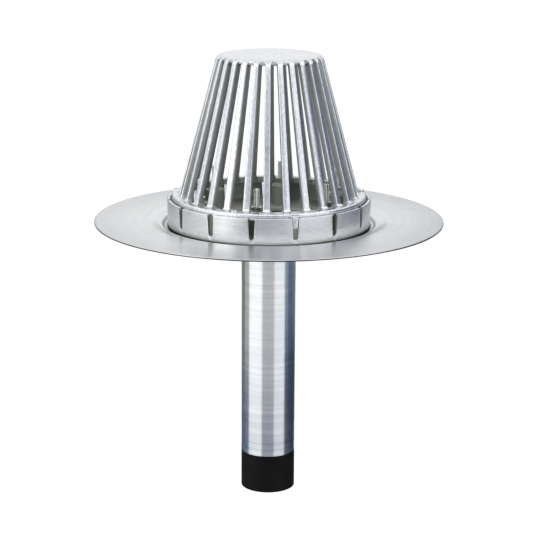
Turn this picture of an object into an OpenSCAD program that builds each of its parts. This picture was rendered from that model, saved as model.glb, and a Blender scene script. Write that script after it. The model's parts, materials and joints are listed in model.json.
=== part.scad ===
// Flat roof drain for re-roofing over an existing outlet.
// A spun aluminium body drops its stem into the old pipe, a cast ring clamps the
// roof membrane in the sump, and a cast dome strainer keeps leaves out.
// Origin: centre of the deck flange's underside. +Z up, and the stem hangs below.
// Angles round the drain are counted from the front, -Y, towards +X.

/* [Drain body] */
// Diameter of the deck flange
flange_d = 444.5; // [400:0.5:520]
// Thickness of the spun sheet
sheet_t = 2.3; // [1.6:0.1:3.2]
// Drop from the flange to the sump floor
sump_drop = 8; // [6:0.5:14]
// Steepness of the rolled step round the sump, in degrees
step_angle = 75; // [50:1:85]
// Outside diameter of the stem
stem_d = 69.85; // [60:0.05:90]
// Reach of the drain below the deck
tail_len = 358; // [250:1:500]

/* [Pipe seal] */
// Height of the rubber seal
seal_h = 50; // [35:1:70]
// Thickness of the rubber round the swaged neck
seal_t = 3.5; // [2.5:0.1:5]
// Thickness of the lip that covers the neck's end
seal_lip = 6; // [4:0.5:10]
// Height of the open groove above the seal
seal_groove = 0.8; // [0.4:0.1:1.5]

/* [Clamping ring] */
// Outside diameter of the ring at its top
ring_d = 259.6; // [240:0.2:300]
// Wall of the ring
ring_wall = 4.3; // [3:0.1:7]
// Taper of the outer face, as radius lost from top to bottom
ring_draft = 0.8; // [0:0.1:1.5]
// Thickness of the ring's base
base_t = 8.5; // [7:0.5:14]
// Height of the wall above the base
wall_h = 27.3; // [18:0.1:40]
// Room between the ring and the sump's rolled step
ring_gap = 2.2; // [1:0.1:5]
// Width of the sealing land round the throat
land_in = 12; // [8:0.5:18]
// Width of the sealing land under the wall
land_out = 8; // [6:0.5:12]
// Depth of the relief between the lands
relief_h = 3.5; // [2:0.5:5]

/* [Drain slots in the ring] */
// Number of slots
slot_n = 15; // [9:3:24]
// Width of a slot at the top of the wall
slot_w_top = 9; // [5:0.5:12]
// Width of a slot at its rounded bottom
slot_w_low = 6; // [3:0.5:8]
// Height left between the slot's bottom and the base
slot_sill = 0.4; // [0.2:0.1:5]

/* [Clamping studs] */
// Diameter of a stud
stud_d = 8; // [7:0.5:12]
// Length of stud that stands above its nut
stud_show = 22.4; // [5:0.1:30]
// Diameter of the weld collar at the foot of a stud
collar_d = 13; // [12.5:0.5:18]
// Height of the weld collar
collar_h = 2; // [1.5:0.1:3]
// Diameter of the bosses on the ring
boss_d = 24; // [20:0.5:28]
// Height of the bosses above the base
boss_h = 25.8; // [15:0.1:32]
// Room between the bosses and the line of the ribs' inner faces
boss_gap = 2.2; // [1:0.1:4]
// Room round a stud in its boss
stud_clear = 0.8; // [0.3:0.1:1.5]
// Diameter of a washer
washer_d = 17.5; // [17:0.5:24]
// Thickness of a washer
washer_t = 1.6; // [1:0.1:3]
// Width of a nut across its flats
nut_af = 12.7; // [12.5:0.1:18]
// Height of a nut
nut_h = 6.8; // [5:0.1:10]

/* [Dome strainer] */
// Height of the dome from the rim's underside to the crown
dome_h = 185.9; // [120:0.1:240]
// Diameter that the ribs' outer faces reach at the crown's height
crown_d = 133.2; // [100:0.2:160]
// Thickness of the crown
crown_t = 6.5; // [4:0.5:10]
// Depth of the notches between the ribs, from their faces to the crown's edge
crown_notch = 2.6; // [1.5:0.1:6]
// How far the crown's face stands above the ribs' shoulders
crown_proud = 0.5; // [0.3:0.1:1.5]
// Radius of the ribs' shoulders
shoulder_r = 9; // [5:0.5:14]
// Number of ribs
rib_n = 28; // [18:1:34]
// Width of a rib at its foot
rib_w_foot = 8.5; // [6:0.1:11]
// Width of a rib at the crown
rib_w_top = 6.8; // [5:0.1:9]
// Depth of a rib towards the middle
rib_depth = 8; // [6:0.5:11]
// Radius where a rib's face meets the rim
foot_fillet = 3; // [1:0.5:3.5]
// Height of the gusset where a rib runs in under the crown
rib_gusset = 1.5; // [1:0.5:8]
// Height of the rim
rim_h = 8; // [6:0.5:12]
// How far the rim sits below the top of the ring's wall
rim_sink = 3.5; // [2:0.1:5]
// Width of the ledge on the rim, outside the ribs
rim_ledge = 9.8; // [9:0.1:14]
// How far the rim reaches in under the ribs
rim_under = 4.2; // [2:0.1:7]
// Height of the ribs' undersides above the rim's
rib_sole = 2; // [1:0.1:4]
// Radius of the rim's outer edge
rim_round = 2.5; // [1:0.5:3.5]
// Room between the rim and the ring's wall
rim_gap = 1.5; // [0.8:0.1:3]
// Width of a locating lug over the wall
lug_w = 14; // [11:0.5:18]
// How far a lug's tongue hangs in its slot, below the wall's top
lug_drop = 12; // [6:0.5:20]
// Room round the locating lugs
lug_gap = 0.5; // [0.3:0.1:1]

/* [Dome screws] */
// Diameter of a screw's shank
screw_d = 5; // [4:0.5:6]
// Diameter of a screw's head
head_d = 7.7; // [7:0.1:8.4]
// Height of a screw's head
head_h = 2.7; // [2:0.1:4]
// Depth of the spotface under a screw's head
spot_depth = 0.3; // [0.1:0.1:0.8]
// Length of thread in the ring's post
screw_bite = 12; // [6:0.5:16]
// Diameter of the posts that carry the dome
post_d = 11; // [9:0.5:13]

/* [Hidden] */
// Studs, each with its washer and nut, and dome screws, each with its locating lug
stud_n = 6;
screw_n = 3;
$fn = 96;

// Where the first of each repeated feature lies, in degrees from the front
stud_at = -9.5;
slot_at = 14.6;
screw_at = -20.8;
rib_at = -1.5;

// Heights
floor_z = sheet_t - sump_drop;
base_z = floor_z + base_t;
wall_z = base_z + wall_h;
boss_z = base_z + boss_h;
washer_z = boss_z + washer_t;
nut_z = washer_z + nut_h;
stud_z = nut_z + stud_show;
rim_low = wall_z - rim_sink;
rim_z = rim_low + rim_h;
crown_z = rim_low + dome_h;
shoulder_z = crown_z - crown_proud;
seat_z = rim_z - spot_depth;
neck_z = seal_h - tail_len;
neck_end = seal_lip - tail_len;

// Radii, from the ring outwards and inwards
ring_r = ring_d / 2;
wall_ir = ring_r - ring_wall;
floor_r = ring_r + ring_gap;
rim_r = wall_ir - rim_gap;
foot_r = rim_r - rim_ledge;
rim_ir = foot_r - rim_under;
bolt_r = foot_r - rib_depth - boss_gap - boss_d / 2;
throat_r = bolt_r - boss_d / 2 - land_in;
screw_r = (foot_r + rim_r) / 2;
stem_r = stem_d / 2;
neck_r = stem_r - seal_t;

// The spun sheet, along its middle
step_r = sump_drop / (2 * (1 - cos(step_angle)));
step_out = floor_r + 2 * step_r * sin(step_angle);
floor_in = throat_r - 1.5;
bell_r = floor_in - (stem_r - sheet_t / 2);

// The dome's cone
crown_r = crown_d / 2;
lean = (foot_r - crown_r) / (crown_z - rim_z);
lean_angle = atan(lean);

function cone_r(z) = crown_r + lean * (crown_z - z);

// Points along an arc, both ends included
function arc(c, r, a0, a1, n = 8) =
    [for (i = [0:n]) let (a = a0 + (a1 - a0) * i / n) c + r * [cos(a), sin(a)]];

// Turns what lies along +X to an angle counted from the front
module at_front(angle) rotate(angle - 90) children();

module ring_of(n, first) for (i = [0:n - 1]) at_front(first + i * 360 / n) children();

// ---- Drain body -----------------------------------------------------------

// One face of the sheet, from the flange's edge to the shoulder of the neck.
// side is 1 for the wet face and -1 for the face towards the building.
function sheet_face(side) =
    let (
        h = side * sheet_t / 2,
        mid = sheet_t / 2,
        c1 = [step_out, mid - step_r],
        c2 = c1 + 2 * step_r * [-sin(step_angle), cos(step_angle)],
        c3 = [floor_in, mid - sump_drop - bell_r]
    )
    concat(
        [[flange_d / 2, mid + h]],
        arc(c1, step_r + h, 90, 90 + step_angle, 10),
        arc(c2, step_r - h, step_angle - 90, -90, 10),
        arc(c3, bell_r + h, 90, 180, 16)
    );

// Both faces of the swaged neck: a 45 degree shoulder, then a plain tube
function neck_face(inset) =
    let (top = neck_z + inset * tan(22.5))
    [[stem_r - inset, top], [neck_r - inset, top - seal_t], [neck_r - inset, neck_end]];

function reversed(p) = [for (i = [len(p) - 1:-1:0]) p[i]];

module drain_body()
    color("gainsboro")
    rotate_extrude($fn = 180)
    polygon(concat(
        sheet_face(1), neck_face(sheet_t),
        reversed(neck_face(0)), reversed(sheet_face(-1))
    ));

// ---- Pipe seal ------------------------------------------------------------

module pipe_seal() {
    edge = 0.5;
    color([0.1, 0.1, 0.11])
    rotate_extrude()
    polygon([
        [stem_r - seal_groove, neck_z - seal_groove],
        [stem_r, neck_z - seal_groove],
        [stem_r, edge - tail_len],
        [stem_r - edge, -tail_len],
        [neck_r - sheet_t, -tail_len],
        [neck_r - sheet_t, neck_end],
        [neck_r, neck_end],
        [neck_r, neck_z - seal_t]
    ]);
}

// ---- Clamping ring --------------------------------------------------------

// A slot, drawn as its width against its height. grow widens it all round.
module slot_shape(grow = 0) {
    low = base_z + slot_sill + slot_w_low / 2;
    high = wall_z + 1;
    union() {
        translate([0, low]) circle(slot_w_low / 2 + grow, $fn = 32);
        polygon([
            [-slot_w_low / 2 - grow, low], [slot_w_low / 2 + grow, low],
            [slot_w_top / 2 + grow, high], [-slot_w_top / 2 - grow, high]
        ]);
    }
}

// Stands a width-against-height drawing on the radius r0, as thick as deep
module radial(r0, deep) translate([r0, 0, 0]) rotate([90, 0, 90]) linear_extrude(deep) children();

module ring_casting() {
    edge = 1;
    fillet = 3;
    foot = ring_r - ring_draft;
    difference() {
        rotate_extrude($fn = 180)
        polygon(concat(
            [[throat_r, floor_z], [foot, floor_z]],
            arc([ring_r - edge, wall_z - edge], edge, 0, 90, 3),
            arc([wall_ir + edge, wall_z - edge], edge, 90, 180, 3),
            arc([wall_ir - fillet, base_z + fillet], fillet, 0, -90, 6),
            arc([throat_r + fillet, base_z - fillet], fillet, 90, 180, 6)
        ));
        rotate_extrude($fn = 180)
        translate([throat_r + land_in, floor_z - 1])
        square([foot - land_out - throat_r - land_in, relief_h + 1]);
    }
}

// A post for a dome screw, webbed out to the wall that it is cast on
module post() {
    h = rim_low - base_z + 1;
    translate([screw_r, 0, base_z - 1]) {
        cylinder(d = post_d, h = h, $fn = 48);
        translate([0, -post_d / 2, 0]) cube([wall_ir + ring_wall / 2 - screw_r, post_d, h]);
    }
}

module clamping_ring()
    color("silver")
    difference() {
        union() {
            ring_casting();
            ring_of(stud_n, stud_at)
            translate([bolt_r, 0, floor_z]) cylinder(d = boss_d, h = boss_z - floor_z, $fn = 64);
            ring_of(screw_n, screw_at) post();
        }
        ring_of(slot_n, slot_at) radial(wall_ir - 2, ring_wall + 4) slot_shape();
        ring_of(stud_n, stud_at) translate([bolt_r, 0, floor_z]) {
            translate([0, 0, -1]) cylinder(d = stud_d + 2 * stud_clear, h = boss_z - floor_z + 2, $fn = 48);
            translate([0, 0, -1]) cylinder(d = collar_d + 2 * stud_clear, h = collar_h + stud_clear + 1, $fn = 48);
        }
        ring_of(screw_n, screw_at)
        translate([screw_r, 0, rim_low - screw_bite - 2])
        cylinder(d = screw_d + 0.1, h = screw_bite + 3, $fn = 32);
    }

// ---- Studs, washers and nuts ----------------------------------------------

module stud(i) {
    tip = 1;
    color("whitesmoke")
    at_front(stud_at + (i - 1) * 360 / stud_n)
    translate([bolt_r, 0, floor_z])
    rotate_extrude($fn = 48)
    polygon([
        [0, 0], [collar_d / 2, 0], [stud_d / 2, collar_h],
        [stud_d / 2, stud_z - floor_z - tip], [stud_d / 2 - tip, stud_z - floor_z],
        [0, stud_z - floor_z]
    ]);
}

module washer(i)
    color("lightgray")
    at_front(stud_at + (i - 1) * 360 / stud_n)
    translate([bolt_r, 0, boss_z])
    difference() {
        cylinder(d = washer_d, h = washer_t, $fn = 64);
        translate([0, 0, -1]) cylinder(d = stud_d + stud_clear, h = washer_t + 2, $fn = 48);
    }

// A hexagon with its corners turned off top and bottom
module nut(i) {
    corner = nut_af / cos(30) / 2;
    slope = tan(30);
    flat_r = nut_af / 2 * 0.96;
    color("lightgray")
    at_front(stud_at + (i - 1) * 360 / stud_n)
    translate([bolt_r, 0, washer_z])
    difference() {
        intersection() {
            cylinder(r = corner, h = nut_h, $fn = 6);
            rotate_extrude($fn = 64)
            polygon([
                [0, 0], [flat_r, 0], [corner, (corner - flat_r) * slope],
                [corner, nut_h - (corner - flat_r) * slope], [flat_r, nut_h], [0, nut_h]
            ]);
        }
        translate([0, 0, -1]) cylinder(d = stud_d + 0.1, h = nut_h + 2, $fn = 48);
    }
}

// ---- Dome strainer --------------------------------------------------------

// Side of a rib, as its radius against its height
module rib_side() {
    top = [cone_r(shoulder_z - shoulder_r) - shoulder_r / cos(lean_angle), shoulder_z - shoulder_r];
    foot_z = rim_z + foot_fillet - 0.2;
    foot = [cone_r(foot_z) + foot_fillet / cos(lean_angle), foot_z];
    sole = rim_low + rib_sole;
    gusset = crown_z - crown_t - rib_gusset;
    inside = crown_z - crown_t / 2;
    polygon(concat(
        [[cone_r(sole) - rib_depth, sole], [foot[0], sole]],
        reversed(arc(foot, foot_fillet, 180 + lean_angle, 270, 5)),
        arc(top, shoulder_r, lean_angle, 90, 8),
        [
            [top[0], inside],
            [cone_r(gusset) - rib_depth - (inside - gusset), inside],
            [cone_r(gusset) - rib_depth, gusset]
        ]
    ));
}

// Face of a rib, as its width against its height
module rib_front()
    polygon([
        [-rib_w_foot / 2, rim_low], [rib_w_foot / 2, rim_low],
        [rib_w_top / 2, crown_z], [-rib_w_top / 2, crown_z]
    ]);

module rib()
    intersection() {
        rotate([90, 0, 0]) translate([0, 0, -rib_w_foot]) linear_extrude(2 * rib_w_foot) rib_side();
        radial(0, rim_r) rib_front();
    }

module crown() {
    edge = min(3, crown_t / 2);
    disc_r = crown_r - crown_notch;
    rotate_extrude()
    polygon(concat(
        [[0, crown_z - crown_t], [disc_r, crown_z - crown_t]],
        arc([disc_r - edge, crown_z - edge], edge, 0, 90, 5),
        [[0, crown_z]]
    ));
}

module rim()
    rotate_extrude($fn = 180)
    polygon(concat(
        [[rim_ir, rim_low], [rim_r - 1, rim_low], [rim_r, rim_low + 1]],
        arc([rim_r - rim_round, rim_z - rim_round], rim_round, 0, 90, 5),
        [[rim_ir, rim_z]]
    ));

// A lug over the top of the wall, with a tongue that hangs in a slot
module lug() {
    reach = ring_r - 1;
    root = rim_r - 2;
    translate([root, -lug_w / 2, wall_z + lug_gap])
    cube([reach - root - 1, lug_w, rim_z - rim_round / 2 - wall_z - lug_gap]);
    radial(root, reach - root)
    intersection() {
        slot_shape(-lug_gap);
        translate([-slot_w_top, wall_z - lug_drop]) square([2 * slot_w_top, 2 * lug_drop]);
    }
}

module strainer_dome()
    color([0.86, 0.87, 0.89])
    difference() {
        union() {
            rim();
            crown();
            ring_of(rib_n, rib_at) rib();
            ring_of(screw_n, slot_at) lug();
        }
        ring_of(screw_n, screw_at) translate([screw_r, 0, 0]) {
            translate([0, 0, rim_low - 1]) cylinder(d = screw_d + 0.6, h = rim_h + 2, $fn = 32);
            translate([0, 0, seat_z]) cylinder(d = head_d + 1.2, h = foot_fillet + 1, $fn = 48);
        }
    }

// ---- Dome screws ----------------------------------------------------------

module dome_screw(i) {
    crest = 1;
    shank = rim_h - spot_depth + screw_bite;
    color("lightgray")
    at_front(screw_at + (i - 1) * 360 / screw_n)
    translate([screw_r, 0, seat_z])
    difference() {
        rotate_extrude($fn = 48)
        polygon(concat(
            [[0, -shank], [screw_d / 2 - 0.8, -shank], [screw_d / 2, 0.8 - shank]],
            [[screw_d / 2, 0], [head_d / 2, 0]],
            arc([head_d / 2 - crest, head_h - crest], crest, 0, 90, 4),
            [[0, head_h]]
        ));
        translate([-head_d, -0.6, head_h - 1.3]) cube([2 * head_d, 1.2, 2]);
    }
}

drain_body();
pipe_seal();
clamping_ring();
strainer_dome();
for (i = [1:stud_n]) {
    stud(i);
    washer(i);
    nut(i);
}
for (i = [1:screw_n])
    dome_screw(i);
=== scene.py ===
"""Looks for a flat roof drain: a spun body with its rubber seal, a cast clamping ring, a cast dome
strainer, and the studs, washers, nuts and screws that hold them together."""
import json
import math

import bmesh
import bpy
from mathutils import Matrix, Vector, noise

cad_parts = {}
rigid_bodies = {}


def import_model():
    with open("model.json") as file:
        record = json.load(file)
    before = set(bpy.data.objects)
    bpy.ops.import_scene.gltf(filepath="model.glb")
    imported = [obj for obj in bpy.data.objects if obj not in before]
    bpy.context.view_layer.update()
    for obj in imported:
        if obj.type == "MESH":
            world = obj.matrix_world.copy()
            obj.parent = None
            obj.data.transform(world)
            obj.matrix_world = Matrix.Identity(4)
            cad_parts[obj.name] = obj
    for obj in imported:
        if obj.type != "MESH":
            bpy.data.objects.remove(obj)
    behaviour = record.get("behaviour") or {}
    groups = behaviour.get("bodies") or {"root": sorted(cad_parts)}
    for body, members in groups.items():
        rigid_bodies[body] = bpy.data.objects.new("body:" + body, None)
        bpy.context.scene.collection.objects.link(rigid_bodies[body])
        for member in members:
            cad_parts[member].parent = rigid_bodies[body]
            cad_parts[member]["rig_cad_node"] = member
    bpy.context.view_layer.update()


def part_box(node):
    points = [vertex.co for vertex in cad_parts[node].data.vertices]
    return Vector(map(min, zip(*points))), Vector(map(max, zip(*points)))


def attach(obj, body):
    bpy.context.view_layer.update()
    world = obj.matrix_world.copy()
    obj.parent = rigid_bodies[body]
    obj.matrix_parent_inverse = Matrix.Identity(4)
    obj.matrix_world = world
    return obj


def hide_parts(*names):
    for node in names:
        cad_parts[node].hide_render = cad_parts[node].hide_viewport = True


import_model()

MM = 0.001
TAU = 2 * math.pi


def top(node):
    """Highest point of a CAD node."""
    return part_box(node)[1].z


def low(node):
    """Lowest point of a CAD node."""
    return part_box(node)[0].z


def reach(node):
    """How far a CAD node reaches along +X."""
    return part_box(node)[1].x


# ---- Sizes -----------------------------------------------------------------
# Heights count from the flange's underside. Angles count from the front, -Y, towards +X.

# Spun body
FLANGE_R = reach("drain_body")
SHEET = top("drain_body")
FLOOR_Z = low("clamping_ring")
STEM_R = reach("pipe_seal")
NECK_Z = top("pipe_seal") + 0.8 * MM
NECK_END = low("drain_body")
RIM_ROUND_WET = 1.1 * MM
RIM_ROUND_DRY = 0.5 * MM
ROLL = 18 * MM
ROLL_DROP = 4 * MM
STEP_ANGLE = math.radians(60)
THROAT_R = 68 * MM
BELL_MOUTH_R = THROAT_R - 1.5 * MM

# Waves that the spinning roller leaves along the stem
WAVE_DEPTH = 0.26 * MM
WAVE_LENGTH = 11 * MM
RIPPLE_DEPTH = 0.04 * MM
RIPPLE_LENGTH = 2.6 * MM

# Pipe seal
SEAL_TOP = top("pipe_seal")
SEAL_LOW = low("pipe_seal")
SEAL_T = 3.5 * MM
SEAL_ROUND = 0.8 * MM

# Clamping ring
RING_R = reach("clamping_ring")
RING_WALL = 4.3 * MM
RING_DRAFT = 0.8 * MM
RING_GAP = 2.2 * MM
RING_FILLET = 3 * MM
BASE_Z = FLOOR_Z + 8.5 * MM
WALL_Z = top("clamping_ring")
WALL_IR = RING_R - RING_WALL
LAND_IN = 12 * MM
LAND_OUT = 8 * MM
RELIEF = 3.5 * MM
SLOTS = 15
SLOT_AT = math.radians(14.6)
SLOT_TOP = 9 * MM
SLOT_LOW = 6 * MM
SLOT_SILL = 0.4 * MM
SLOT_FLARE = 0.7 * MM
SLOT_ROUND = 0.45 * MM

# Clamping studs, washers and nuts
STUDS = 6
STUD_AT = math.radians(-9.5)
BOLT_R = 92 * MM
STUD_R = 4 * MM
STUD_Z = top("stud_1")
BOSS_R = 12 * MM
BOSS_Z = low("washer_1")
COLLAR_R = 6.5 * MM
COLLAR_H = 2 * MM
WASHER_R = 8.75 * MM
WASHER_Z = top("washer_1")
NUT_Z = top("nut_1")
NUT_FLATS = 12.7 * MM
THREAD_PITCH = 1.4 * MM

# Dome screws, whose heads sit in shallow seats in the dome's rim
SCREWS = 3
SCREW_AT = math.radians(-20.8)
SCREW_PLACE_R = 119.1 * MM
SCREW_R = 2.5 * MM
HEAD_R = 3.85 * MM
HEAD_H = 2.7 * MM
SEAT_Z = top("dome_screw_1") - HEAD_H
SEAT_CUT = 0.3 * MM
POST_R = 5.5 * MM

# Dome strainer
RIM_R = 124 * MM
RIM_IR = 110 * MM
RIM_Z = SEAT_Z + SEAT_CUT
RIM_H = 8 * MM
RIM_LOW = RIM_Z - RIM_H
RIM_ROUND = 2.5 * MM
FOOT_R = 114.2 * MM
CROWN_Z = top("strainer_dome")
CROWN_R = 66.6 * MM
CROWN_T = 6.5 * MM
CROWN_LOW = CROWN_Z - CROWN_T
CROWN_NOTCH = 2.6 * MM
CROWN_PROUD = 0.5 * MM
LEAN = (FOOT_R - CROWN_R) / (CROWN_Z - RIM_Z)
LEAN_ANGLE = math.atan(LEAN)
SHOULDER_R = 9 * MM
ARCH_Z = CROWN_Z - 0.9 * MM
RIBS = 28
RIB_AT = math.radians(-1.5)
RIB_SOLE = RIM_LOW + 2 * MM
RIB_FOOT_W = 8.5 * MM
RIB_TOP_W = 6.8 * MM
RIB_DEPTH = 8 * MM
RIB_FILLET = 3.4 * MM
RIB_ROUND = 1.4 * MM
GUSSET = 1.5 * MM
LUG_W = 14 * MM
LUG_GAP = 0.5 * MM
TONGUE_LOW = WALL_Z - 12 * MM


# ---- Meshes ----------------------------------------------------------------

def placed(name, data):
    """A new object in the scene that holds a mesh, a lamp or a camera."""
    obj = bpy.data.objects.new(name, data)
    bpy.context.scene.collection.objects.link(obj)
    return obj


def mesh_object(name, verts, faces, smooth_below=35):
    """A closed mesh whose faces point outwards, shaded smooth up to an edge angle in degrees."""
    mesh = bpy.data.meshes.new(name)
    mesh.from_pydata([tuple(v) for v in verts], [], faces)
    tidy_mesh(mesh, smooth_below)
    return placed(name, mesh)


def tidy_mesh(mesh, smooth_below=35, merge=1e-6):
    """Merges doubles, turns the faces outwards and sets the smooth shading."""
    bm = bmesh.new()
    bm.from_mesh(mesh)
    bmesh.ops.remove_doubles(bm, verts=bm.verts, dist=merge)
    bmesh.ops.dissolve_degenerate(bm, edges=bm.edges, dist=merge)
    bmesh.ops.recalc_face_normals(bm, faces=bm.faces)
    for face in bm.faces:
        face.smooth = True
    bm.to_mesh(mesh)
    bm.free()
    mesh.set_sharp_from_angle(angle=math.radians(smooth_below))


def arc(centre, radius, start, end, steps=8):
    """Points (r, z) along an arc, both ends included; angles in degrees."""
    points = []
    for i in range(steps + 1):
        a = math.radians(start + (end - start) * i / steps)
        points.append((centre[0] + radius * math.cos(a), centre[1] + radius * math.sin(a)))
    return points


def held(profile, gap=0.4 * MM):
    """Adds a point close to both ends of each long straight stretch, so that smooth shading stays
    flat there."""
    out = []
    for a, b in zip(profile, profile[1:] + profile[:1]):
        out.append(a)
        length = math.dist(a, b)
        if length > 5 * gap:
            for share in (gap / length, 1 - gap / length):
                out.append((a[0] + (b[0] - a[0]) * share, a[1] + (b[1] - a[1]) * share))
    return out


def lathe(name, profile, segments=240, smooth_below=35):
    """Turns a closed profile of (r, z) points round the Z axis. A point on the axis becomes a
    pole."""
    verts = []
    rings = []
    for r, z in profile:
        if r < 1e-7:
            rings.append([len(verts)] * segments)
            verts.append((0, 0, z))
            continue
        rings.append(list(range(len(verts), len(verts) + segments)))
        for i in range(segments):
            a = TAU * i / segments
            verts.append((r * math.cos(a), r * math.sin(a), z))
    faces = []
    for a, b in zip(rings, rings[1:] + rings[:1]):
        for i in range(segments):
            j = (i + 1) % segments
            corners = list(dict.fromkeys((a[i], a[j], b[j], b[i])))
            if len(corners) > 2:
                faces.append(corners)
    return mesh_object(name, verts, faces, smooth_below)


def tube_faces(rows, count):
    """Faces of a tube of rows of count points each, closed at both ends."""
    faces = []
    for row in range(rows - 1):
        near, far = row * count, (row + 1) * count
        for i in range(count):
            j = (i + 1) % count
            faces.append((near + i, near + j, far + j, far + i))
    faces.append(tuple(range(count)))
    faces.append(tuple(range((rows - 1) * count, rows * count)))
    return faces


def loft(name, sections, smooth_below=35):
    """Skins closed sections of equal length and closes both ends."""
    verts = [v for section in sections for v in section]
    return mesh_object(name, verts, tube_faces(len(sections), len(sections[0])), smooth_below)


def rounded_box(half_w, half_d, radius, steps=4):
    """Outline of a rectangle with round corners, as (across, deep) points."""
    points = []
    for cx, cy, start in ((1, 1, 0), (-1, 1, 90), (-1, -1, 180), (1, -1, 270)):
        corner = (cx * (half_w - radius), cy * (half_d - radius))
        points += arc(corner, radius, start, start + 90, steps)
    return points


def moved_out(obj, radius):
    """Moves a mesh out from the axis along +X."""
    obj.data.transform(Matrix.Translation((radius, 0, 0)))
    return obj


def bake(obj):
    """Swaps an object's modifiers for the plain mesh that they make."""
    graph = bpy.context.evaluated_depsgraph_get()
    mesh = bpy.data.meshes.new_from_object(obj.evaluated_get(graph))
    obj.modifiers.clear()
    obj.data = mesh
    return obj


def boolean(obj, other, operation):
    """Joins or cuts obj with other, which is used up."""
    mod = obj.modifiers.new(operation, "BOOLEAN")
    mod.operation = operation
    mod.solver = "MANIFOLD"
    mod.object = other
    bake(obj)
    bpy.data.objects.remove(other)
    return obj


def dress(obj, material, smooth_below=30):
    """Tidies a mesh that other steps have joined or cut, and gives it one material."""
    tidy_mesh(obj.data, smooth_below)
    obj.data.materials.clear()
    obj.data.materials.append(material)


# ---- Node trees ------------------------------------------------------------

def add(tree, kind, inputs=None, **settings):
    """Adds a node. inputs maps a socket's name or number to a value, or to the node or output that
    feeds it.

    A node feeds its first output in use. Map Range takes a value at 0, its range at 1 and 2, and
    the range it is mapped to at 3 and 4. Mix takes a factor at 0 and two colours at 6 and 7."""
    node = tree.nodes.new(kind)
    for key, value in settings.items():
        setattr(node, key, value)
    for key, value in (inputs or {}).items():
        if isinstance(value, bpy.types.Node):
            value = next(socket for socket in value.outputs if socket.enabled)
        if isinstance(value, bpy.types.NodeSocket):
            tree.links.new(value, node.inputs[key])
        else:
            node.inputs[key].default_value = value
    return node


def ring_pattern():
    """Repeats a mesh evenly round the Z axis. Angles are counted from the front, -Y, towards +X."""
    tree = bpy.data.node_groups.new("ring_pattern", "GeometryNodeTree")
    for name, kind in (("Geometry", "Geometry"), ("Copies", "Int"), ("First angle", "Float"),
                       ("Material", "Material")):
        tree.interface.new_socket(name, in_out="INPUT", socket_type="NodeSocket" + kind)
    tree.interface.new_socket("Geometry", in_out="OUTPUT", socket_type="NodeSocketGeometry")
    given = add(tree, "NodeGroupInput").outputs
    pitch = add(tree, "ShaderNodeMath", {0: TAU, 1: given["Copies"]}, operation="DIVIDE")
    index = add(tree, "GeometryNodeInputIndex")
    turn = add(tree, "ShaderNodeMath", {0: index, 1: pitch, 2: given["First angle"]},
               operation="MULTIPLY_ADD")
    from_front = add(tree, "ShaderNodeMath", {0: turn, 1: math.pi / 2}, operation="SUBTRACT")
    spin = add(tree, "ShaderNodeCombineXYZ", {"Z": from_front})
    places = add(tree, "GeometryNodeMeshLine", {"Count": given["Copies"], "Offset": (0, 0, 0)})
    copies = add(tree, "GeometryNodeInstanceOnPoints", {
        "Points": places, "Instance": given["Geometry"], "Rotation": spin})
    real = add(tree, "GeometryNodeRealizeInstances", {"Geometry": copies})
    coat = add(tree, "GeometryNodeSetMaterial", {"Geometry": real, "Material": given["Material"]})
    add(tree, "NodeGroupOutput", {"Geometry": coat})
    return tree


RING_PATTERN = ring_pattern()


def ring_of(obj, copies, first, material=None):
    """Repeats obj, which lies along +X, evenly round the axis as one plain mesh."""
    mod = obj.modifiers.new("ring_pattern", "NODES")
    mod.node_group = RING_PATTERN
    for item in RING_PATTERN.interface.items_tree:
        value = {"Copies": copies, "First angle": first, "Material": material}.get(item.name)
        if item.in_out == "INPUT" and value is not None:
            mod[item.identifier] = value
    return bake(obj)


# ---- Materials -------------------------------------------------------------

# Near black tone of the painted shade in crevices and at the foot of the ring's wall, and the depth
# where it begins
SHADE_TONE = "2c2d2b"
SHADE_DEPTH = 70.0  # in millimetres, as all depths, radii and heights in a node tree are


def linear(hex_code):
    """Linear colour of an sRGB hex value."""
    parts = [int(hex_code[i:i + 2], 16) / 255 for i in (0, 2, 4)]
    return tuple(p / 12.92 if p <= 0.04045 else ((p + 0.055) / 1.055) ** 2.4 for p in parts) + (1,)


def new_material(name):
    mat = bpy.data.materials.new(name)
    mat.use_nodes = True
    mat.node_tree.nodes.clear()
    return mat, mat.node_tree


def tone_between(tree, factor, dark, light, low_end=0.3, high_end=0.7):
    """A colour that goes from one sRGB value to another while a factor goes from its low end to its
    high end."""
    share = add(tree, "ShaderNodeMapRange", {0: factor, 1: low_end, 2: high_end})
    return add(tree, "ShaderNodeMix", {0: share, 6: linear(dark), 7: linear(light)},
               data_type="RGBA")


def turned_coordinates(tree):
    """Radius and height in millimetres, and the direction round the axis."""
    place = add(tree, "ShaderNodeTexCoord").outputs["Object"]
    in_mm = add(tree, "ShaderNodeVectorMath", {0: place, "Scale": 1 / MM}, operation="SCALE")
    split = add(tree, "ShaderNodeSeparateXYZ", {0: in_mm}).outputs
    flat = add(tree, "ShaderNodeCombineXYZ", {"X": split["X"], "Y": split["Y"]})
    radius = add(tree, "ShaderNodeVectorMath", {0: flat}, operation="LENGTH")
    way = add(tree, "ShaderNodeVectorMath", {0: flat}, operation="NORMALIZE")
    return radius, split["Z"], way


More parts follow.
